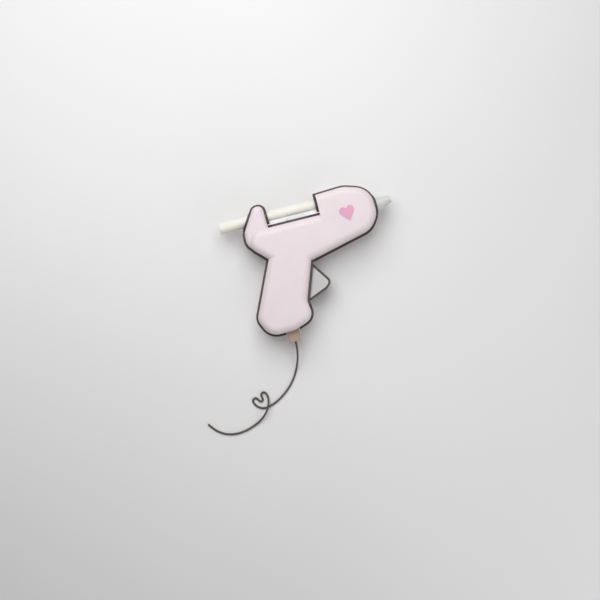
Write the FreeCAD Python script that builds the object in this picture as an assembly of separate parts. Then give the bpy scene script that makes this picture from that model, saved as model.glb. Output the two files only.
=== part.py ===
import FreeCAD, Part
import math
import os
from FreeCAD import Vector

# A hot-melt glue gun lying flat on its left side, in millimetres. +Z is up, out of its right side.
# It is drawn with X along the glue stick, towards the nozzle, Y up from the grip to the barrel,
# and the stick's axis at Y = 0. At the end it all moves, so that the origin is under its middle.

# ---------------------------------------------------------------- driving dimensions
THICKNESS = 36.0            # of the housing, across the two halves
MID = THICKNESS / 2         # height of the parting plane and of every axis in it
WALL = 1.8                  # of the housing
EDGE = 7.0                  # rounding of the housing's long edges
SEAM = 0.9                  # the shell stands this far inside the outlines below
TRIM_OUT = 1.5              # the trim stands this far outside them
TRIM_HIGH = 2.4             # thickness of the trim strip that the halves clamp
TRIM_DEEP = 1.1             # how far its root goes into the wall
FLANGE_R = 8.4              # of the soft flanges where the stick passes the lug and the barrel
FAR = 400                   # larger than the whole gun

STICK_R = 5.6               # a standard 11.2 mm glue stick
STICK_BACK = -31.2
STICK_FRONT = 72.2
BARREL_BACK = 68.4          # the barrel's flat rear face
NOTCH_FLOOR = -10.4

NOZZLE_X, NOZZLE_Y = 124.5, -14.8     # where the nozzle's axis leaves the barrel
NOZZLE_TILT = 9.35                    # degrees up from the stick's axis
NOZZLE_OUT = 17.2                     # length of cone that shows
TIP_R = 3.6
CONE_R = 8.0

PIVOT_X, PIVOT_Y = 41.0, -60.0        # trigger hinge
PULL = 20.0                           # degrees of trigger travel
RISE = 41.5                           # from the hinge up to the drive pin
STROKE = 2 * RISE * math.tan(math.radians(PULL / 2))
DRIVE_X = PIVOT_X - STROKE / 2
DRIVE_Y = PIVOT_Y + RISE
TRIGGER_HALF = 8.0                    # half the trigger's thickness
JAW_X, JAW_Y = 25.4, -19.4            # jaw hinge on the carriage

CORD_R = 1.0
RELIEF_X = 15.2
RELIEF_END = -127.5

UNDERSIDE = 0.24027                   # slope of the barrel's underside
CORNER_X, CORNER_Y = 50.7, -53.8      # where it meets the front of the grip


def underside(x):
    return CORNER_Y + UNDERSIDE * (x - CORNER_X)


# Convex parts of the outline as (x, y, corner radius), anticlockwise. Their union is the side
# view.
BARREL = [(45, underside(45), 14), (115.6, underside(115.6), 20.4), (125.4, -24.1, 20),
          (124.4, 3.2, 21), (97.8, 11.3, 26), (45, 8.7, 14)]
BODY = [(26.1, underside(26.1), 13), (102, underside(102), 13), (102, NOTCH_FLOOR, 13),
        (0, NOTCH_FLOOR, 12.2), (-9.7, -24.3, 12.2)]
GRIP = [(15.7, -25, 12.5), (-17.3, -98.0, 12.4), (-8.2, -117.7, 16.9), (17.7, -117.2, 16.3),
        (39.6, -109.4, 12), (37.3, -91.1, 10), (59, -30, 13)]
LUG = [(4, -36.8, 6.5), (17.9, -30, 6.5), (16.1, 13.2, 6.2), (5.4, 12.6, 6.6), (-9.2, -10.8, 14),
       (-9.4, -23.9, 12)]
LUG_EDGE = 5.0
LUG_SIDE = 4.0              # the lug is this much thinner than the housing on each side

SCREWS = [(-1.5, -23), (63, -42), (104.5, -34), (15.5, -55), (-5, -99), (29.5, -102)]
BOSS_R = 3.6

HEART_X, HEART_Y = 95.9, -16.2
HEART_SIZE = 15.8
HEART_LEAN = 6.0            # degrees

RAIL_HALF = 3.6             # half the feed rail's width
RAIL_LOW = -8.6
RAIL_TOP = -5.8
COLLAR_R = 10.6             # of the ring round the nozzle

CHAMBER_R = 8.5
CHAMBER_TOP = 6.7
CHAMBER_BACK = 77.0
CHANNEL_R = 2.2             # of the glue's channel into the nozzle
SHANK_R = 4.5               # of the nozzle's shank
PASSAGE_R = 2.9             # of the slanted glue passage
PLUG_AT = 27.5              # along that passage
WEB = [(82.6, -3.8, 1.0), (101.7, -28.8, 1.5), (111.2, -21.4, 1.5), (107.5, -9.5, 3.0),
       (94, -2, 2.0), (84, -2, 0.8)]
BALL_R = 1.85
BALL_AT = -6.6              # along the nozzle's axis

CARRIAGE_LOW, CARRIAGE_HIGH = -24.6, -13.8
CARRIAGE_BACK, CARRIAGE_FRONT = 18.9, 43.4
JAW_SLOT_BACK, JAW_SLOT_FRONT = 22.6, 55.5      # the slots that the jaw's arms travel in
JAW_SLOT_NEAR, JAW_SLOT_FAR = 3.9, 7.2          # from the parting plane
WIPER_HALF = 8.6                                # half the width of the pad round those slots

TRIGGER = [(49.9, -55.4, 2.5), (42.0, -56.6, 3.0), (34.0, -90.9, 2.5), (37.4, -92.6, 2.5),
           (59.5, -83.6, 15.0), (65.1, -77.6, 5.5)]
RIM = 2.3                   # width of the trigger's soft rim
SLOT_LOW, SLOT_HIGH = -93.0, -55.0    # the trigger's slot through the front of the grip
SLOT_HALF = TRIGGER_HALF + 0.45
SLOT_FRAME = 2.2            # width of the soft frame round that slot

# The cord's route: out of the relief, down to the floor, an arc, a small loop in the shape of a
# heart, over its own first arc in a low hump, and a last arc to its bare end.
FLOOR = 1.05
ROUTE = [(15.2, -127.5, MID), (15.2, -133.6, MID), (14.0, -141.2, 13.6), (11.8, -148.7, 7.0),
         (8.6, -156.2, FLOOR), (4.2, -163.8, FLOOR), (-1.8, -170.9, FLOOR), (-9.0, -177.0, FLOOR),
         (-17.2, -182.1, FLOOR), (-25.4, -185.3, FLOOR), (-31.4, -186.2, FLOOR),
         (-36.8, -184.2, FLOOR), (-40.1, -180.5, FLOOR), (-41.8, -176.2, FLOOR),
         (-39.8, -173.7, FLOOR), (-36.7, -174.1, FLOOR), (-34.9, -178.2, FLOOR),
         (-32.5, -178.6, FLOOR), (-30.9, -176.7, FLOOR), (-32.3, -172.3, FLOOR),
         (-30.4, -169.9, 1.2), (-27.4, -170.2, 1.9), (-25.3, -174.1, 3.3), (-25.8, -179.4, 5.2),
         (-27.0, -183.7, 6.05), (-29.2, -188.1, 6.05), (-33.4, -192.9, 4.3), (-39.2, -197.4, 2.0),
         (-46.6, -200.9, FLOOR), (-55.2, -203.6, FLOOR), (-64.6, -204.5, FLOOR),
         (-73.4, -203.0, FLOOR), (-81.0, -199.3, FLOOR), (-86.8, -194.0, FLOOR),
         (-90.9, -188.1, FLOOR)]

SHAPES = {}
X_AXIS = Vector(1, 0, 0)
Y_AXIS = Vector(0, 1, 0)
Z_AXIS = Vector(0, 0, 1)
TILT = math.radians(NOZZLE_TILT)
NOZZLE_DIR = Vector(math.cos(TILT), math.sin(TILT), 0)


# ---------------------------------------------------------------- helpers
def box(x0, x1, y0, y1, z0, z1):
    return Part.makeBox(x1 - x0, y1 - y0, z1 - z0, Vector(x0, y0, z0))


def rod(radius, start, direction, length):
    return Part.makeCylinder(radius, length, start, direction)


def tube(outer, inner, start, direction, length):
    return rod(outer, start, direction, length).cut(rod(inner, start, direction, length))


def upright(radius, x, y, z0, z1):
    return rod(radius, Vector(x, y, z0), Z_AXIS, z1 - z0)


def on_nozzle(along):
    """A point on the nozzle's axis, this far outside the barrel."""
    return Vector(NOZZLE_X, NOZZLE_Y, MID) + NOZZLE_DIR * along


def nozzle_rod(radius, start, end):
    return rod(radius, on_nozzle(start), NOZZLE_DIR, end - start)


def stick_rod(radius, start, end):
    return rod(radius, Vector(start, 0, MID), X_AXIS, end - start)


def outline(corners, z=0.0):
    """Closed wire through (x, y, radius) corners: straight sides joined by tangent arcs."""
    bends = []
    for i, (x, y, radius) in enumerate(corners):
        before = corners[i - 1]
        after = corners[(i + 1) % len(corners)]
        here = Vector(x, y, z)
        back = (Vector(before[0], before[1], z) - here).normalize()
        ahead = (Vector(after[0], after[1], z) - here).normalize()
        half = back.getAngle(ahead) / 2
        reach = radius / math.tan(half)
        inward = (back + ahead).normalize()
        middle = here + inward * (radius / math.sin(half) - radius)
        bends.append((here + back * reach, middle, here + ahead * reach))
    edges = []
    for i, (start, middle, end) in enumerate(bends):
        following = bends[(i + 1) % len(bends)][0]
        run = Vector(*corners[(i + 1) % len(corners)][:2]) - Vector(*corners[i][:2])
        assert run.dot(following - end) > -1e-9, "corner radii overlap after %s" % str(corners[i])
        edges.append(Part.Arc(start, middle, end).toShape())
        if (following - end).Length > 1e-6:
            edges.append(Part.makeLine(end, following))
    return Part.Wire(edges)


def inset(corners, distance):
    """The same anticlockwise outline moved inwards, or outwards for a negative distance."""
    sides = []
    for i, (x, y, radius) in enumerate(corners):
        x1, y1, _ = corners[(i + 1) % len(corners)]
        length = math.hypot(x1 - x, y1 - y)
        dx, dy = (x1 - x) / length, (y1 - y) / length
        sides.append((x - dy * distance, y + dx * distance, dx, dy))
    moved = []
    for i, (x, y, radius) in enumerate(corners):
        ax, ay, adx, ady = sides[i - 1]
        bx, by, bdx, bdy = sides[i]
        turn = adx * bdy - ady * bdx
        along = ((bx - ax) * bdy - (by - ay) * bdx) / turn
        new_radius = radius - distance if turn > 0 else radius + distance
        assert new_radius > 0, "no radius left at corner %d" % i
        moved.append((ax + adx * along, ay + ady * along, new_radius))
    return moved


def prism(corners, z0, z1):
    return Part.Face(outline(corners, z0)).extrude(Vector(0, 0, z1 - z0))


def pillow(corners, z0, z1, edge):
    """A prism with its top and bottom rims rounded."""
    solid = prism(corners, z0, z1)
    rims = [e for e in solid.Edges if e.BoundBox.ZLength < 1e-6]
    return solid.makeFillet(edge, rims)


def join(shapes):
    whole = shapes[0]
    for shape in shapes[1:]:
        whole = whole.fuse(shape)
    return whole.removeSplitter()


def both_sides(shape):
    """The shape and its mirror image across the parting plane."""
    return [shape, shape.mirror(Vector(0, 0, MID), Z_AXIS)]


def coil_spring(start, direction, length, coil_r, wire_r, turns):
    """A helical spring from start along direction."""
    helix = Part.makeHelix(length / turns, length, coil_r)
    profile = Part.Wire(Part.makeCircle(wire_r, Vector(coil_r, 0, 0), Vector(0, 1, 0)))
    spring = Part.Wire(helix.Edges).makePipeShell([profile], True, True)
    spring.Placement = FreeCAD.Placement(start, FreeCAD.Rotation(Z_AXIS, direction))
    return spring


def bent_tube(points, radius, report=None):
    """A round tube along straight runs joined by tangent arcs."""
    points = [Vector(*p) for p in points]
    edges = []
    at = points[0]
    radii = []
    for before, here, after in zip(points, points[1:], points[2:]):
        back = (before - here).normalize()
        ahead = (after - here).normalize()
        half_turn = (math.pi - back.getAngle(ahead)) / 2
        shorter = min((before - here).Length, (after - here).Length)
        reach = 0.45 * shorter
        bend = reach / math.tan(half_turn)
        radii.append(bend)
        start = here + back * reach
        end = here + ahead * reach
        inward = (back + ahead).normalize()
        middle = here + inward * (bend / math.cos(half_turn) - bend)
        edges.append(Part.makeLine(at, start))
        edges.append(Part.Arc(start, middle, end).toShape())
        at = end
    edges.append(Part.makeLine(at, points[-1]))
    path = Part.Wire(edges)
    first = (points[1] - points[0]).normalize()
    profile = Part.Wire(Part.makeCircle(radius, points[0], first))
    solid = Part.Solid(path.makePipeShell([profile], True, False))
    if report:
        expected = math.pi * radius ** 2 * path.Length
        print(report, "length %.1f mm, volume over section x length %.4f" %
              (path.Length, solid.Volume / expected))
        print("  bend radii", " ".join("%.1f" % r for r in radii))
    return solid


def keep(name, shape):
    assert shape.Volume > 0, name + " is empty"
    SHAPES[name] = shape


def along_parting(x0, x1, y0, y1, half):
    """A box this far to each side of the parting plane."""
    return box(x0, x1, y0, y1, MID - half, MID + half)


# ---------------------------------------------------------------- housing
def side_view(distance, low, high, edge):
    """The gun's body as one solid, its outline moved inwards by distance."""
    barrel = pillow(inset(BARREL, distance), low, high, edge)
    back = BARREL_BACK + distance
    barrel = barrel.cut(box(0, back, -100, 50, -1, THICKNESS + 1))
    body = pillow(inset(BODY, distance), low, high, edge)
    grip = pillow(inset(GRIP, distance), low, high, edge)
    lug_low = low + LUG_SIDE
    lug = pillow(inset(LUG, distance), lug_low, THICKNESS - lug_low, LUG_EDGE - (EDGE - edge))
    return join([barrel, body, grip, lug])


def flat_view(distance, low, high):
    """The same outline as a plain plate, for the trim strip."""
    barrel = prism(inset(BARREL, distance), low, high)
    barrel = barrel.cut(box(0, BARREL_BACK + distance, -100, 50, low - 1, high + 1))
    plates = [prism(inset(part, distance), low, high) for part in (BODY, GRIP, LUG)]
    return join([barrel] + plates)


def screw_boss(x, y):
    return upright(BOSS_R, x, y, WALL / 2, THICKNESS - WALL / 2)


def screw_hole(x, y):
    """Counterbore and clearance hole from below, pilot hole in the upper half."""
    shapes = [upright(3.0, x, y, -1, 8.0), upright(1.7, x, y, 7, MID), upright(1.5, x, y, MID, 29)]
    return join(shapes)


def ribs():
    """Everything moulded inside both halves, before the halves are split."""
    parts = [screw_boss(x, y) for x, y in SCREWS]
    parts += both_sides(upright(4.6, PIVOT_X, PIVOT_Y, WALL / 2, MID - TRIGGER_HALF - 0.5))
    parts += both_sides(box(17, 60, -26.4, -24.9, WALL / 2, MID - 7.2))
    spring_wall = box(68.6, 70.2, -25.5, -12, WALL / 2, THICKNESS - WALL / 2)
    parts.append(spring_wall.cut(stick_rod(8.2, 60, 80)))
    rear_rib = box(77.6, 79.2, -40, 12, WALL / 2, THICKNESS - WALL / 2)
    chamber_clear = stick_rod(CHAMBER_R + 0.15, 70, 100).fuse(along_parting(70, 100, -22, -4, 9.5))
    parts.append(rear_rib.cut(chamber_clear))
    web_clear = prism(inset(WEB, -0.3), MID - 6.8, MID + 6.8)
    front_rib = box(110.5, 112.5, -45, 12, WALL / 2, THICKNESS - WALL / 2)
    parts.append(front_rib.cut(nozzle_rod(11.05, -30, 0)).cut(web_clear))
    parts.append(box(8.4, 22.0, -106.2, -101.0, WALL / 2, MID - CORD_R))
    return parts


def housing_openings():
    """Holes through both halves for what passes through the shell."""
    cuts = [stick_rod(7.3, -20, 17.5 + WALL), stick_rod(7.1, 60, 72)]
    cuts.append(along_parting(10, BARREL_BACK + 4, RAIL_LOW - 0.05, -5, RAIL_HALF))
    cuts.append(nozzle_rod(COLLAR_R, -4.5, 12))
    cuts.append(along_parting(30, 62, SLOT_LOW, SLOT_HIGH, SLOT_HALF))
    cuts.append(along_parting(RELIEF_X - 5.6, RELIEF_X + 5.6, -122, -110, 4.6))
    cuts += jaw_slots()
    cuts.append(place_heart(heart(HEART_SIZE, THICKNESS - 0.6, THICKNESS + 1)))
    return cuts


def jaw_slots():
    """The two slots through the notch's floor, one each side of the rail."""
    return both_sides(box(JAW_SLOT_BACK, JAW_SLOT_FRONT, NOTCH_FLOOR - 6, NOTCH_FLOOR + 3,
                          MID - JAW_SLOT_FAR, MID - JAW_SLOT_NEAR))


def slot_frame():
    """A soft frame on the shell's surface round the trigger's slot, before the slot is cut."""
    half = SLOT_HALF + SLOT_FRAME
    around = along_parting(30, CORNER_X + 2, SLOT_LOW - SLOT_FRAME, SLOT_HIGH + SLOT_FRAME, half)
    ring = flat_view(-TRIM_OUT, MID - half, MID + half).cut(flat_view(SEAM, 0, THICKNESS))
    return ring.common(around)


def heart(size, z0, z1):
    """A heart in the XY plane, point down, two round lobes and two straight sides."""
    lobe = size * 0.25
    out = size * 0.23
    top = size * 0.18
    tip = Vector(0, -size * 0.52, z0)
    centre = Vector(-out, top, z0)
    aim = tip - centre
    turn = math.atan2(aim.y, aim.x) - math.acos(lobe / aim.Length)
    touch = centre + Vector(math.cos(turn), math.sin(turn), 0) * lobe
    wedge = Part.makePolygon([tip, Vector(-touch.x, touch.y, z0), Vector(out, top, z0), centre,
                              touch, tip])
    solid = Part.Face(wedge).extrude(Vector(0, 0, z1 - z0))
    for side in (-1, 1):
        solid = solid.fuse(upright(lobe, side * out, top, z0, z1))
    solid = solid.removeSplitter()
    point = [e for e in solid.Edges if e.BoundBox.YMax < tip.y + 0.01]
    return solid.makeFillet(0.8, point)


def place_heart(shape):
    shape.rotate(Vector(0, 0, 0), Z_AXIS, HEART_LEAN)
    shape.translate(Vector(HEART_X, HEART_Y, 0))
    return shape


def build_housing():
    outer = side_view(SEAM, 0, THICKNESS, EDGE)
    inner = side_view(SEAM + WALL, WALL, THICKNESS - WALL, EDGE - WALL)
    shell = outer.cut(inner)
    inside = join(ribs()).common(outer)
    shell = shell.fuse(inside)
    for hole in housing_openings():
        shell = shell.cut(hole)
    for x, y in SCREWS:
        shell = shell.cut(screw_hole(x, y))
    shell = shell.cut(upright(2.0, PIVOT_X, PIVOT_Y, 3.5, THICKNESS - 3.5))
    for side in (-1, 1):
        shell = shell.cut(upright(0.9, RELIEF_X + 5.0 * side, -103.6, 8, MID))
    low, high = MID - TRIM_HIGH / 2, MID + TRIM_HIGH / 2
    band = flat_view(-TRIM_OUT, low, high).cut(flat_view(SEAM + TRIM_DEEP, low, high))
    shell = shell.cut(band)
    keep("lower_housing", shell.common(box(-FAR, FAR, -FAR, FAR, -FAR, MID)))
    keep("upper_housing", shell.common(box(-FAR, FAR, -FAR, FAR, MID, FAR)))

    # a pad round the slots for the jaw joins the trim along the notch's floor
    pad = along_parting(JAW_SLOT_BACK - 2, JAW_SLOT_FRONT + 2, NOTCH_FLOOR - SEAM,
                        NOTCH_FLOOR + TRIM_OUT, WIPER_HALF)
    trim = band.fuse(pad).fuse(slot_frame())
    for slot in jaw_slots():
        trim = trim.cut(slot)
    for hole in (stick_rod(FLANGE_R + 0.05, -20, 80), nozzle_rod(COLLAR_R, -10, 20),
                 box(10, BARREL_BACK + 4, RAIL_LOW, -5, low - 1, high + 1),
                 along_parting(30, 62, SLOT_LOW, SLOT_HIGH, SLOT_HALF),
                 box(RELIEF_X - 7.0, RELIEF_X + 7.2, -122, -110, low - 1, high + 1)):
        trim = trim.cut(hole)
    keep("edge_trim", trim.removeSplitter())


def build_screws():
    screws = []
    for x, y in SCREWS:
        head = upright(2.8, x, y, 5.8, 8.0)
        shank = upright(1.45, x, y, 8.0, 27.5)
        cross = [box(x - 1.7, x + 1.7, y - 0.35, y + 0.35, 5, 7.0),
                 box(x - 0.35, x + 0.35, y - 1.7, y + 1.7, 5, 7.0)]
        screws.append(head.fuse(shank).cut(cross[0]).cut(cross[1]))
    keep("housing_screws", Part.makeCompound(screws))


def build_badge():
    badge = place_heart(heart(HEART_SIZE - 0.1, THICKNESS - 0.6, THICKNESS + 0.5))
    keep("heart_badge", badge)


# ---------------------------------------------------------------- stick, guides and rail
def build_guides():
    stick = stick_rod(STICK_R, STICK_BACK, STICK_FRONT)
    rims = [e for e in stick.Edges if e.BoundBox.XLength < 1e-6 and e.Closed]
    keep("glue_stick", stick.makeFillet(0.4, rims))

    # the bush fills the lug's bore, and its two flanges follow the lug's slanting sides
    lug_outside = prism(inset(LUG, -TRIM_OUT), 0, THICKNESS)
    flanges = lug_outside.cut(prism(inset(LUG, SEAM), 0, THICKNESS))
    flanges = flanges.common(stick_rod(FLANGE_R, -20, 30))
    bush = stick_rod(7.25, -20, 30).common(lug_outside).fuse(flanges)
    bush = bush.cut(stick_rod(6.0, -20, 30))
    rail_seat = along_parting(10, 20, RAIL_LOW - 0.1, -4, RAIL_HALF + 0.05)
    keep("rear_guide_bush", bush.cut(rail_seat).removeSplitter())

    rail = along_parting(15.2, BARREL_BACK + 1.6, RAIL_LOW, RAIL_TOP + 1.6, RAIL_HALF)
    rail = rail.cut(stick_rod(STICK_R + 0.3, 0, 90))
    keep("feed_rail", rail)

    sleeve = tube(7.0, STICK_R + 0.25, Vector(BARREL_BACK - 0.2, 0, MID), X_AXIS,
                  CHAMBER_BACK - BARREL_BACK + 0.2)
    groove = tube(9.0, 6.55, Vector(73.2, 0, MID), X_AXIS, 1.0)
    flange = tube(FLANGE_R, STICK_R + 0.25, Vector(BARREL_BACK - TRIM_OUT, 0, MID), X_AXIS,
                  TRIM_OUT + SEAM)
    sleeve = sleeve.cut(groove).fuse(flange)
    sleeve = sleeve.cut(along_parting(60, 71, RAIL_LOW - 1, -4, RAIL_HALF + 0.05))
    keep("inlet_collar", sleeve.removeSplitter())
    keep("collar_clamp", tube(7.15, 6.55, Vector(73.25, 0, MID), X_AXIS, 0.9))


# ---------------------------------------------------------------- melt chamber
def build_chamber():
    """The casting, whose slanted passage is drilled from the stick's bore and closed by a plug."""
    start = Vector(86.5, 0, MID)
    slant = (on_nozzle(-23.5) - start).normalize()
    plug_at = start + slant * PLUG_AT
    casting = stick_rod(CHAMBER_R, CHAMBER_BACK, 92)
    casting = casting.common(box(70, 100, -20, CHAMBER_TOP, 0, THICKNESS))
    web = prism(WEB, MID - 6.5, MID + 6.5)
    boss = nozzle_rod(8.0, -27, -5.2)
    pad = box(CHAMBER_BACK + 0.4, 88, -10.2, -4, MID - 6.5, MID + 6.5)
    casting = join([casting, web, boss, pad])
    cavity = join([stick_rod(STICK_R + 0.25, CHAMBER_BACK - 1, 88),
                   rod(PASSAGE_R, start, slant, PLUG_AT),
                   nozzle_rod(CHANNEL_R, -24.5, -16), nozzle_rod(SHANK_R, -17.0, -5)])
    plug_hole = rod(3.6, plug_at, slant, 12)
    holder_seat = tube(11.05, 8.0, on_nozzle(-14.5), NOZZLE_DIR, 4.0)
    keep("melt_block", casting.cut(cavity).cut(plug_hole).cut(holder_seat))

    plug = rod(3.55, plug_at, slant, 4.6)
    slot = rod(2.0, plug_at + slant * 2.6, slant, 3)
    keep("melt_plug", plug.cut(slot))

    plates = [box(77.5 + 4.8 * i, 82.1 + 4.8 * i, -12.6, -10.2, MID - 5.5, MID + 5.5)
              for i in range(2)]
    keep("ptc_heaters", Part.makeCompound(plates))
    keep("heater_electrode", box(77.4, 87.0, -13.1, -12.6, MID - 5.0, MID + 5.0))
    keep("heater_insulator", box(77.2, 87.2, -13.5, -13.1, MID - 6.0, MID + 6.0))
    outer = box(80.0, 85.0, -14.1, CHAMBER_TOP + 0.6, MID - 9.1, MID + 9.1)
    hollow = box(79, 86, -13.5, CHAMBER_TOP, MID - 8.5, MID + 8.5)
    keep("heater_band", outer.cut(hollow))

    ring = tube(11.0, 8.0, on_nozzle(-14.5), NOZZLE_DIR, 4.0)
    keep("chamber_holder", ring)


# ---------------------------------------------------------------- nozzle
def build_nozzle():
    base = -2.6
    slope = (CONE_R - TIP_R) / NOZZLE_OUT
    cone = Part.makeCone(CONE_R - slope * base, TIP_R, NOZZLE_OUT - base, on_nozzle(base),
                         NOZZLE_DIR)
    rims = [e for e in cone.Edges if e.Closed and abs(e.Curve.Radius - TIP_R) < 1e-6]
    cone = cone.makeFillet(0.5, rims)
    body = join([cone, nozzle_rod(8.6, -5.0, base), nozzle_rod(SHANK_R - 0.05, -16.0, -5.0)])
    bore = join([nozzle_rod(1.3, -17, -7.9), nozzle_rod(2.1, -8.0, 5.0), nozzle_rod(1.1, 4, 20)])
    keep("nozzle", body.cut(bore))
    collar = tube(COLLAR_R - 0.02, 8.75, on_nozzle(-4.4), NOZZLE_DIR, 12)
    dome = pillow(inset(BARREL, -TRIM_OUT), -TRIM_OUT, THICKNESS + TRIM_OUT, EDGE + TRIM_OUT)
    keep("nozzle_collar", collar.common(dome))
    ball = Part.makeSphere(BALL_R, on_nozzle(BALL_AT))
    keep("check_ball", ball)
    start = BALL_AT + 1.1
    spring = coil_spring(on_nozzle(start + 0.35), NOZZLE_DIR, 4.1 - start, 1.55, 0.25, 6)
    keep("check_spring", spring)


# ---------------------------------------------------------------- feed carriage and jaw
def build_carriage():
    frame = along_parting(CARRIAGE_BACK, CARRIAGE_FRONT, CARRIAGE_LOW, CARRIAGE_HIGH, 10.4)
    frame = frame.cut(along_parting(CARRIAGE_BACK + 2.5, CARRIAGE_FRONT - 2.5, -30, -10, 7.6))
    for hole in (upright(1.6, DRIVE_X, DRIVE_Y, 5, 31), upright(1.6, JAW_X, JAW_Y, 5, 31)):
        frame = frame.cut(hole)
    seat = tube(2.4, 0.6, Vector(CARRIAGE_FRONT, -19.2, MID), X_AXIS, 3.0)
    keep("feed_carriage", frame.fuse(seat).removeSplitter())
    keep("drive_pin", upright(1.6, DRIVE_X, DRIVE_Y, MID - 10.2, MID + 10.2))
    keep("jaw_pin", upright(1.55, JAW_X, JAW_Y, MID - 10.2, MID + 10.2))

    arm = [(JAW_X - 3.2, JAW_Y - 3.2, 2.6), (JAW_X + 3.4, JAW_Y - 3.2, 2.6),
           (JAW_X + 3.6, -12.0, 2.0), (JAW_X + 11, -7.6, 1.2), (JAW_X + 11, -5.6, 0.4),
           (JAW_X + 3.2, -4.9, 0.4), (JAW_X - 1.2, -9.0, 2.0)]
    side = prism(arm, MID - 6.7, MID - 4.3)
    for i in range(5):
        x = JAW_X + 4.4 + 1.3 * i
        tooth = Part.makePolygon([Vector(x, -4.4, 0), Vector(x + 0.9, -4.4, 0),
                                  Vector(x + 0.2, -6.1, 0), Vector(x, -4.4, 0)])
        side = side.cut(Part.Face(tooth).extrude(Vector(0, 0, THICKNESS)))
    bridge = box(JAW_X - 2.6, JAW_X - 0.2, -24.2, JAW_Y - 2.0, MID - 6.7, MID + 6.7)
    jaw = join(both_sides(side) + [bridge])
    keep("grip_jaw", jaw.cut(upright(1.6, JAW_X, JAW_Y, 5, 31)))

    length = 68.6 - CARRIAGE_FRONT - 0.9
    start = Vector(CARRIAGE_FRONT + 0.45, -19.2, MID)
    keep("return_spring", coil_spring(start, X_AXIS, length, 3.2, 0.4, 10))


# ---------------------------------------------------------------- trigger
def build_trigger():
    low, high = MID - TRIGGER_HALF, MID + TRIGGER_HALF
    whole = prism(TRIGGER, low, high)
    rims = [e for e in whole.Edges if e.BoundBox.ZLength < 1e-6]
    whole = whole.makeFillet(0.9, rims)
    core = prism(inset(TRIGGER, RIM), low - 1, high + 1)
    front = box(46.0, 80, -100, -40, 0, THICKNESS)
    front.rotate(Vector(46.0, -66, 0), Z_AXIS, -19.8)
    rim = whole.cut(core).common(front)
    lever = [(PIVOT_X - 4.8, PIVOT_Y - 6, 2), (PIVOT_X + 4.4, PIVOT_Y - 6, 2),
             (PIVOT_X + 4.6, PIVOT_Y + 2, 4.0), (DRIVE_X + 3.9, DRIVE_Y + 3.4, 1.5),
             (DRIVE_X - 4.1, DRIVE_Y + 3.4, 1.5), (PIVOT_X - 5.4, PIVOT_Y + 2, 4.0)]
    arm = prism(lever, MID - 2.9, MID + 2.9)
    boss = upright(4.7, PIVOT_X, PIVOT_Y, MID - TRIGGER_HALF, MID + TRIGGER_HALF)
    body = join([whole, boss, arm]).cut(rim)
    lean = Vector(DRIVE_X - PIVOT_X, RISE, 0).normalize()
    across = Vector(-lean.y, lean.x, 0) * 1.75
    pin = Vector(DRIVE_X, DRIVE_Y, 0)
    corners = [pin + lean * 8 + across, pin + lean * 8 - across,
               pin - lean * 0.9 - across, pin - lean * 0.9 + across]
    slot = Part.Face(Part.makePolygon(corners + [corners[0]])).extrude(Vector(0, 0, THICKNESS))
    slot = slot.fuse(upright(1.75, DRIVE_X - lean.x * 0.9, DRIVE_Y - lean.y * 0.9, 0, THICKNESS))
    body = body.cut(slot)
    pocket = prism([(47.5, -68.5, 2), (39.5, -68.5, 2), (36.0, -87.5, 1.2), (40, -88.6, 1.2),
                    (57.0, -80.6, 1.5), (59.0, -78.0, 1.5)], MID - 5.6, MID + 5.6)
    pocket_mouth = box(30, 42, -87.4, -69, MID - 5.6, MID + 5.6)
    body = body.cut(pocket.fuse(pocket_mouth))
    keep("trigger", body.cut(upright(2.04, PIVOT_X, PIVOT_Y, 0, THICKNESS)))
    keep("trigger_rim", rim)
    keep("trigger_pin", upright(1.98, PIVOT_X, PIVOT_Y, 3.6, THICKNESS - 3.6))


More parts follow.
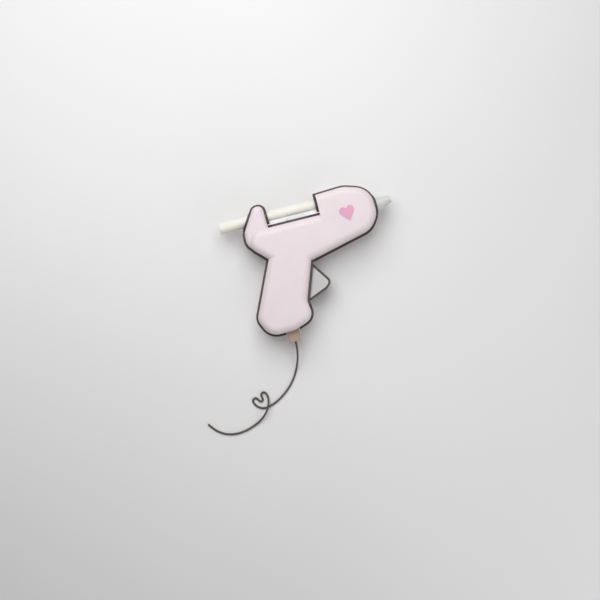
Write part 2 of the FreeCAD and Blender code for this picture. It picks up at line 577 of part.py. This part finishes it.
# ---------------------------------------------------------------- mains side
def build_electrics():
    block = prism([(RELIEF_X - 6.2, -127.5, 1.2), (RELIEF_X + 5.4, -127.5, 1.2),
                   (RELIEF_X + 6.6, -115.2, 0.8), (RELIEF_X - 6.2, -115.2, 0.8)],
                  MID - 5.6, MID + 5.6)
    block = block.makeFillet(0.8, [e for e in block.Edges if e.BoundBox.ZLength < 1e-6])
    outside = flat_view(SEAM - 0.05, 0, THICKNESS)
    block = block.cut(outside)
    neck = box(RELIEF_X - 5.5, RELIEF_X + 5.5, -119.5, -111.0, MID - 4.5, MID + 4.5)
    flange = box(RELIEF_X - 7.4, RELIEF_X + 7.4, -112.2, -110.4, MID - 6.4, MID + 6.4)
    relief = join([block, neck, flange])
    bore = rod(CORD_R, Vector(RELIEF_X, -130, MID), Y_AXIS, 30)
    keep("strain_relief", relief.cut(bore))

    tail_top = -99.0
    tail_start = Vector(RELIEF_X, RELIEF_END, MID)
    keep("cord_tail", rod(CORD_R, tail_start, Y_AXIS, tail_top - RELIEF_END))
    bar = box(8.4, 22.0, -106.2, -101.0, MID + CORD_R, MID + CORD_R + 2.6)
    screws = []
    for side in (-1, 1):
        x = RELIEF_X + 5.0 * side
        bar = bar.cut(upright(1.0, x, -103.6, 10, 30))
        head = upright(1.7, x, -103.6, MID + CORD_R + 2.6, MID + CORD_R + 4.0)
        shank = upright(0.88, x, -103.6, 9.0, MID + CORD_R + 2.6)
        cross = box(x - 1.1, x + 1.1, -103.8, -103.4, MID + CORD_R + 3.3, MID + CORD_R + 5)
        screws.append(head.fuse(shank).cut(cross))
    keep("cord_clamp", bar)
    keep("clamp_screws", Part.makeCompound(screws))

    lead_r = 0.65
    for name, side in (("live_lead", 1), ("neutral_lead", -1)):
        away = MID + 9.5 * side
        route = [(RELIEF_X, tail_top + 0.05, MID + 0.8 * side),
                 (RELIEF_X - 0.5, tail_top + 6, MID + 1.6 * side),
                 (8, -82, MID + 6 * side), (4.6, -69, away), (8.8, -54, away), (17, -42, away),
                 (31, -33.8, away), (50, -31.8, away), (63, -31.2, away),
                 (71, -28.6, MID + 7 * side), (75.2, -21, MID + 3.2 * side),
                 (75.3, -14.2, MID + 3.2 * side)]
        keep(name, bent_tube(route, lead_r))
    crimps = []
    for side in (-1, 1):
        crimps.append(rod(1.5, Vector(73.0, -12.7, MID + 3.2 * side), X_AXIS, 4.1))
    keep("crimp_terminals", Part.makeCompound(crimps))

    keep("power_cord", bent_tube(ROUTE, CORD_R, "power_cord"))


# ---------------------------------------------------------------- assembly
def main():
    build_housing()
    build_screws()
    build_badge()
    build_guides()
    build_chamber()
    build_nozzle()
    build_carriage()
    build_trigger()
    build_electrics()

    extent = FreeCAD.BoundBox()
    for name, shape in SHAPES.items():
        if name != "power_cord":
            extent.add(shape.BoundBox)
    shift = Vector(-(extent.XMin + extent.XMax) / 2, -(extent.YMin + extent.YMax) / 2, 0)
    print("box %.2f x %.2f x %.2f, lowest z %.4f" %
          (extent.XLength, extent.YLength, extent.ZLength, extent.ZMin))
    print("shift %.3f %.3f" % (shift.x, shift.y))
    os.makedirs("parts", exist_ok=True)
    for name, shape in SHAPES.items():
        shape.translate(shift)
        bad = [s for s in shape.Solids if not s.isValid()]
        print("%-18s solids %d volume %9.1f valid %s%s" %
              (name, len(shape.Solids), shape.Volume, shape.isValid(), " BAD" if bad else ""))
        shape.exportStep("parts/%s.step" % name)
    for name, x, y in (("trigger hinge", PIVOT_X, PIVOT_Y), ("jaw hinge", JAW_X, JAW_Y),
                       ("cord exit", RELIEF_X, RELIEF_END), ("nozzle", NOZZLE_X, NOZZLE_Y)):
        print("%s at %.3f %.3f" % (name, x + shift.x, y + shift.y))
    print("feed stroke %.3f mm" % STROKE)


main()
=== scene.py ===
import math

import bpy
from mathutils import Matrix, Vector


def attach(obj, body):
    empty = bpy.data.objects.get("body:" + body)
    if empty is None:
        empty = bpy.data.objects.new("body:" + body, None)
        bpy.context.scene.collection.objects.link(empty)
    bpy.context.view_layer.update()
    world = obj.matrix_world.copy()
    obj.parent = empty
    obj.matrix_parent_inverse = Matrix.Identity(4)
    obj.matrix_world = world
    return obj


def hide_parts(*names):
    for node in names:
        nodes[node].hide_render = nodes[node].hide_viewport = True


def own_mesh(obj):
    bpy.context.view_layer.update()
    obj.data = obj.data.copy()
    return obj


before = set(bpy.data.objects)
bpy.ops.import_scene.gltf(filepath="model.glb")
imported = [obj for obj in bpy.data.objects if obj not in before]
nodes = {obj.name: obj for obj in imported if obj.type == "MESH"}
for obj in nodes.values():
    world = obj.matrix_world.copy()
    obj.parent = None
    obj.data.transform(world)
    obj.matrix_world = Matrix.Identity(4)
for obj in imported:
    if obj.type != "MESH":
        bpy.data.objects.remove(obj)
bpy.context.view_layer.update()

# ---------------------------------------------------------------- camera
# It looks straight down on the gun, which lies on its side, and is turned about its own axis so
# that the glue stick slopes up to the right.
ROLL = math.radians(14)
MID = 0.018                     # height of the gun's parting plane
SHIFT = (-0.055418, 0.056571)   # from the glue stick's own frame, as in part.py, to the row frame


def in_row(x, y, z=MID):
    """A point given along and across the glue stick, in the row frame."""
    return (x + SHIFT[0], y + SHIFT[1], z)


AIM = in_row(0.02948, -0.08846)     # the camera stands over this point
LENS = 85                           # mm
SENSOR = 36                         # mm
FRAME_WIDTH = 0.6                   # what the camera sees across at the parting plane

camera_data = bpy.data.cameras.new("camera")
camera_data.lens = LENS
camera_data.sensor_width = SENSOR
camera = bpy.data.objects.new("camera", camera_data)
bpy.context.scene.collection.objects.link(camera)
camera.location = (AIM[0], AIM[1], MID + FRAME_WIDTH * LENS / SENSOR)
camera.rotation_euler = (0, 0, -ROLL)
bpy.context.scene.camera = camera


def on_image(right, up, height):
    """The point this far right of and above the middle of the image, at this height, in metres."""
    return (AIM[0] + right * math.cos(ROLL) + up * math.sin(ROLL),
            AIM[1] - right * math.sin(ROLL) + up * math.cos(ROLL), height)


# ---------------------------------------------------------------- cord
# The route of the CAD tube, in metres along and across the glue stick's axis.
FLOOR = 0.00105                 # height of the cord's middle where it lies on the floor
CORD_DIAMETER = 0.002
ROUTE = [(0.0152, -0.1275, MID), (0.0152, -0.1336, MID), (0.0140, -0.1412, 0.0136),
         (0.0118, -0.1487, 0.0070), (0.0086, -0.1562, FLOOR), (0.0042, -0.1638, FLOOR),
         (-0.0018, -0.1709, FLOOR), (-0.0090, -0.1770, FLOOR), (-0.0172, -0.1821, FLOOR),
         (-0.0254, -0.1853, FLOOR), (-0.0314, -0.1862, FLOOR), (-0.0368, -0.1842, FLOOR),
         (-0.0401, -0.1805, FLOOR), (-0.0418, -0.1762, FLOOR), (-0.0398, -0.1737, FLOOR),
         (-0.0367, -0.1741, FLOOR), (-0.0349, -0.1782, FLOOR), (-0.0325, -0.1786, FLOOR),
         (-0.0309, -0.1767, FLOOR), (-0.0323, -0.1723, FLOOR), (-0.0304, -0.1699, 0.0012),
         (-0.0274, -0.1702, 0.0019), (-0.0253, -0.1741, 0.0033), (-0.0258, -0.1794, 0.0052),
         (-0.0270, -0.1837, 0.00605), (-0.0292, -0.1881, 0.00605), (-0.0334, -0.1929, 0.0043),
         (-0.0392, -0.1974, 0.0020), (-0.0466, -0.2009, FLOOR), (-0.0552, -0.2036, FLOOR),
         (-0.0646, -0.2045, FLOOR), (-0.0734, -0.2030, FLOOR), (-0.0810, -0.1993, FLOOR),
         (-0.0868, -0.1940, FLOOR), (-0.0909, -0.1881, FLOOR)]

cord_curve = bpy.data.curves.new("cord", "CURVE")
cord_curve.dimensions = "3D"
# Blender's box of a curve reaches a point's radius beyond it, so that radius is the cord's own
# and the bevel's depth, which multiplies it, is 1
cord_curve.bevel_depth = 1
cord_curve.bevel_resolution = 6
cord_curve.resolution_u = 12
cord_curve.use_fill_caps = True
spline = cord_curve.splines.new("NURBS")
spline.points.add(len(ROUTE) - 1)
for point, (x, y, z) in zip(spline.points, ROUTE):
    point.co = (*in_row(x, y, z), 1)
    point.radius = CORD_DIAMETER / 2
spline.order_u = 3
spline.use_endpoint_u = True
cord = bpy.data.objects.new("cord", cord_curve)
bpy.context.scene.collection.objects.link(cord)
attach(cord, "housing")
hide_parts("power_cord")


# ---------------------------------------------------------------- materials
MOTTLE_SCALE = 45               # bumps per metre of plastic's slight change of colour
GLOSS_SCALE = 160               # and of its uneven gloss
GLOSS_SPREAD = 0.06             # how far that moves the roughness each way
METAL_SPREAD = 0.08


def new_material(name, roughness, metallic=0.0, coat=0.0, subsurface=0.0):
    """A Principled material with its object coordinates at hand."""
    material = bpy.data.materials.new(name)
    material.use_nodes = True
    tree = material.node_tree
    shader = tree.nodes["Principled BSDF"]
    shader.inputs["Roughness"].default_value = roughness
    shader.inputs["Metallic"].default_value = metallic
    shader.inputs["Coat Weight"].default_value = coat
    shader.inputs["Subsurface Weight"].default_value = subsurface
    place = tree.nodes.new("ShaderNodeTexCoord")
    return material, tree, shader, place.outputs["Object"]


def noise(tree, where, scale, detail=3.0, rough=0.5, stretch=None):
    """Noise over the object; scale is in bumps per metre, stretch a factor for each axis."""
    if stretch:
        mapping = tree.nodes.new("ShaderNodeMapping")
        mapping.inputs["Scale"].default_value = stretch
        tree.links.new(where, mapping.inputs["Vector"])
        where = mapping.outputs["Vector"]
    node = tree.nodes.new("ShaderNodeTexNoise")
    node.inputs["Scale"].default_value = scale
    node.inputs["Detail"].default_value = detail
    node.inputs["Roughness"].default_value = rough
    tree.links.new(where, node.inputs["Vector"])
    return node.outputs["Fac"]


def ramp(tree, value, stops):
    """Colours or greys along a value: stops are (position, (r, g, b))."""
    node = tree.nodes.new("ShaderNodeValToRGB")
    elements = node.color_ramp.elements
    while len(elements) < len(stops):
        elements.new(0.5)
    for element, (position, colour) in zip(elements, stops):
        element.position = position
        element.color = (*colour, 1)
    tree.links.new(value, node.inputs["Fac"])
    return node.outputs["Color"]


def bump(tree, shader, height, distance, strength=1.0):
    """Bump of this real depth in metres, on top of any that the shader has."""
    node = tree.nodes.new("ShaderNodeBump")
    node.inputs["Strength"].default_value = strength
    node.inputs["Distance"].default_value = distance
    tree.links.new(height, node.inputs["Height"])
    link = next(iter(shader.inputs["Normal"].links), None)
    if link:
        tree.links.new(link.from_socket, node.inputs["Normal"])
    tree.links.new(node.outputs["Normal"], shader.inputs["Normal"])


def shade(colour, factor):
    return tuple(channel * factor for channel in colour)


def plastic(name, colour, roughness, grain, depth, mottle=0.03, **more):
    """Moulded plastic or rubber: slight mottling, spark-eroded grain and uneven gloss."""
    material, tree, shader, where = new_material(name, roughness, **more)
    broad = noise(tree, where, MOTTLE_SCALE, 4)
    colours = ramp(tree, broad, [(0.3, shade(colour, 1 - mottle)), (0.7, shade(colour, 1 + mottle))])
    tree.links.new(colours, shader.inputs["Base Color"])
    gloss = ramp(tree, noise(tree, where, GLOSS_SCALE, 3),
                 [(0.25, (roughness - GLOSS_SPREAD,) * 3), (0.75, (roughness + GLOSS_SPREAD,) * 3)])
    tree.links.new(gloss, shader.inputs["Roughness"])
    bump(tree, shader, noise(tree, where, grain, 2, 0.6), depth)
    return material


def metal(name, colour, roughness, stretch, depth, scale=900, metallic=1.0):
    """Metal with fine drawn or turned marks; less metallic where it is blasted and oxidised."""
    material, tree, shader, where = new_material(name, roughness, metallic=metallic)
    marks = noise(tree, where, scale, 4, 0.6, stretch)
    tree.links.new(ramp(tree, marks, [(0.3, shade(colour, 0.86)), (0.7, shade(colour, 1.08))]),
                   shader.inputs["Base Color"])
    tree.links.new(ramp(tree, marks, [(0.3, (roughness - METAL_SPREAD,) * 3),
                                      (0.7, (roughness + METAL_SPREAD,) * 3)]),
                   shader.inputs["Roughness"])
    bump(tree, shader, marks, depth)
    return material


MATERIALS = {
    "pink_shell": plastic("pink_shell", (0.834, 0.714, 0.741), 0.42, 2600, 0.00003, 0.02,
                          subsurface=0.05),
    "dark_trim": plastic("dark_trim", (0.085, 0.065, 0.065), 0.62, 1800, 0.00004, 0.12),
    "heart_pink": plastic("heart_pink", (0.765, 0.365, 0.541), 0.38, 1200, 0.00002, 0.03,
                          coat=0.1),
    "stick_cream": plastic("stick_cream", (0.85, 0.835, 0.76), 0.55, 420, 0.00006, 0.03,
                           subsurface=0.15),
    "white_nylon": plastic("white_nylon", (0.88, 0.88, 0.88), 0.45, 1500, 0.00003, 0.02),
    "black_silicone": plastic("black_silicone", (0.06, 0.05, 0.05), 0.6, 1500, 0.00003, 0.15),
    "trigger_grey": plastic("trigger_grey", (0.55, 0.55, 0.55), 0.45, 2400, 0.00003, 0.03),
    "relief_brown": plastic("relief_brown", (0.44, 0.335, 0.258), 0.6, 1400, 0.00005, 0.08),
    "cord_grey": plastic("cord_grey", (0.09, 0.07, 0.07), 0.55, 2200, 0.00003, 0.12),
    "lead_brown": plastic("lead_brown", (0.30, 0.16, 0.08), 0.45, 1500, 0.00002, 0.05),
    "lead_blue": plastic("lead_blue", (0.10, 0.25, 0.55), 0.45, 1500, 0.00002, 0.05),
    "ceramic": plastic("ceramic", (0.30, 0.30, 0.32), 0.7, 1800, 0.00006, 0.08),
    "mica": plastic("mica", (0.75, 0.60, 0.35), 0.35, 700, 0.00005, 0.12),
    "cast_alu": metal("cast_alu", (0.62, 0.63, 0.64), 0.45, (1, 1, 1), 0.00006, 700),
    "nozzle_metal": metal("nozzle_metal", (0.70, 0.695, 0.68), 0.55, (6, 1, 1), 0.00003, 400,
                          metallic=0.25),
    "spring_steel": metal("spring_steel", (0.55, 0.55, 0.56), 0.3, (1, 4, 1), 0.00002),
    "screw_steel": metal("screw_steel", (0.50, 0.50, 0.51), 0.32, (1, 1, 3), 0.00002),
    "brass": metal("brass", (0.78, 0.62, 0.30), 0.28, (3, 1, 1), 0.00002),
}

for node in nodes.values():
    for index, old in enumerate(node.data.materials):
        node.data.materials[index] = MATERIALS[old.name.split(".")[0]]
cord.data.materials.append(MATERIALS["cord_grey"])


def spring_coil(node):
    """A copy of the coil on the housing, with a mesh of its own."""
    coil = bpy.data.objects.new(node + "_coil", nodes[node].data.copy())
    bpy.context.scene.collection.objects.link(coil)
    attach(coil, "housing")
    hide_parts(node)
    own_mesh(coil)


spring_coil("return_spring")
spring_coil("check_spring")

# ---------------------------------------------------------------- floor and light
REACH = 4.0                     # of the floor, each way from the middle
WORLD_STRENGTH = 0.22

floor_mesh = bpy.data.meshes.new("floor")
floor_mesh.from_pydata([(-REACH, -REACH, 0), (REACH, -REACH, 0), (REACH, REACH, 0),
                        (-REACH, REACH, 0)], [], [(0, 1, 2, 3)])
floor = bpy.data.objects.new("floor", floor_mesh)
bpy.context.scene.collection.objects.link(floor)
paper, tree, shader, where = new_material("floor", 0.7)
tree.links.new(ramp(tree, noise(tree, where, 3, 2), [(0.3, (0.80, 0.80, 0.80)),
                                                     (0.7, (0.83, 0.83, 0.83))]),
               shader.inputs["Base Color"])
floor.data.materials.append(paper)


GUN = on_image(-0.01, 0.05, MID)        # the middle of the gun without its cord


def area_light(name, place, size, power):
    """A square light that points at the gun and isn't seen itself."""
    light_data = bpy.data.lights.new(name, "AREA")
    light_data.size = size
    light_data.energy = power
    light = bpy.data.objects.new(name, light_data)
    bpy.context.scene.collection.objects.link(light)
    light.location = place
    light.visible_camera = False
    aim = Vector(GUN) - light.location
    light.rotation_euler = aim.to_track_quat("-Z", "Y").to_euler()


area_light("key", on_image(-0.12, 0.46, 0.7), 0.8, 6.7)
area_light("fill", on_image(0.45, -0.4, 0.35), 0.7, 1.3)

world = bpy.data.worlds.new("world")
world.use_nodes = True
world.node_tree.nodes["Background"].inputs["Color"].default_value = (1, 1, 1, 1)
world.node_tree.nodes["Background"].inputs["Strength"].default_value = WORLD_STRENGTH
bpy.context.scene.world = world
bpy.context.scene.view_settings.view_transform = "Standard"
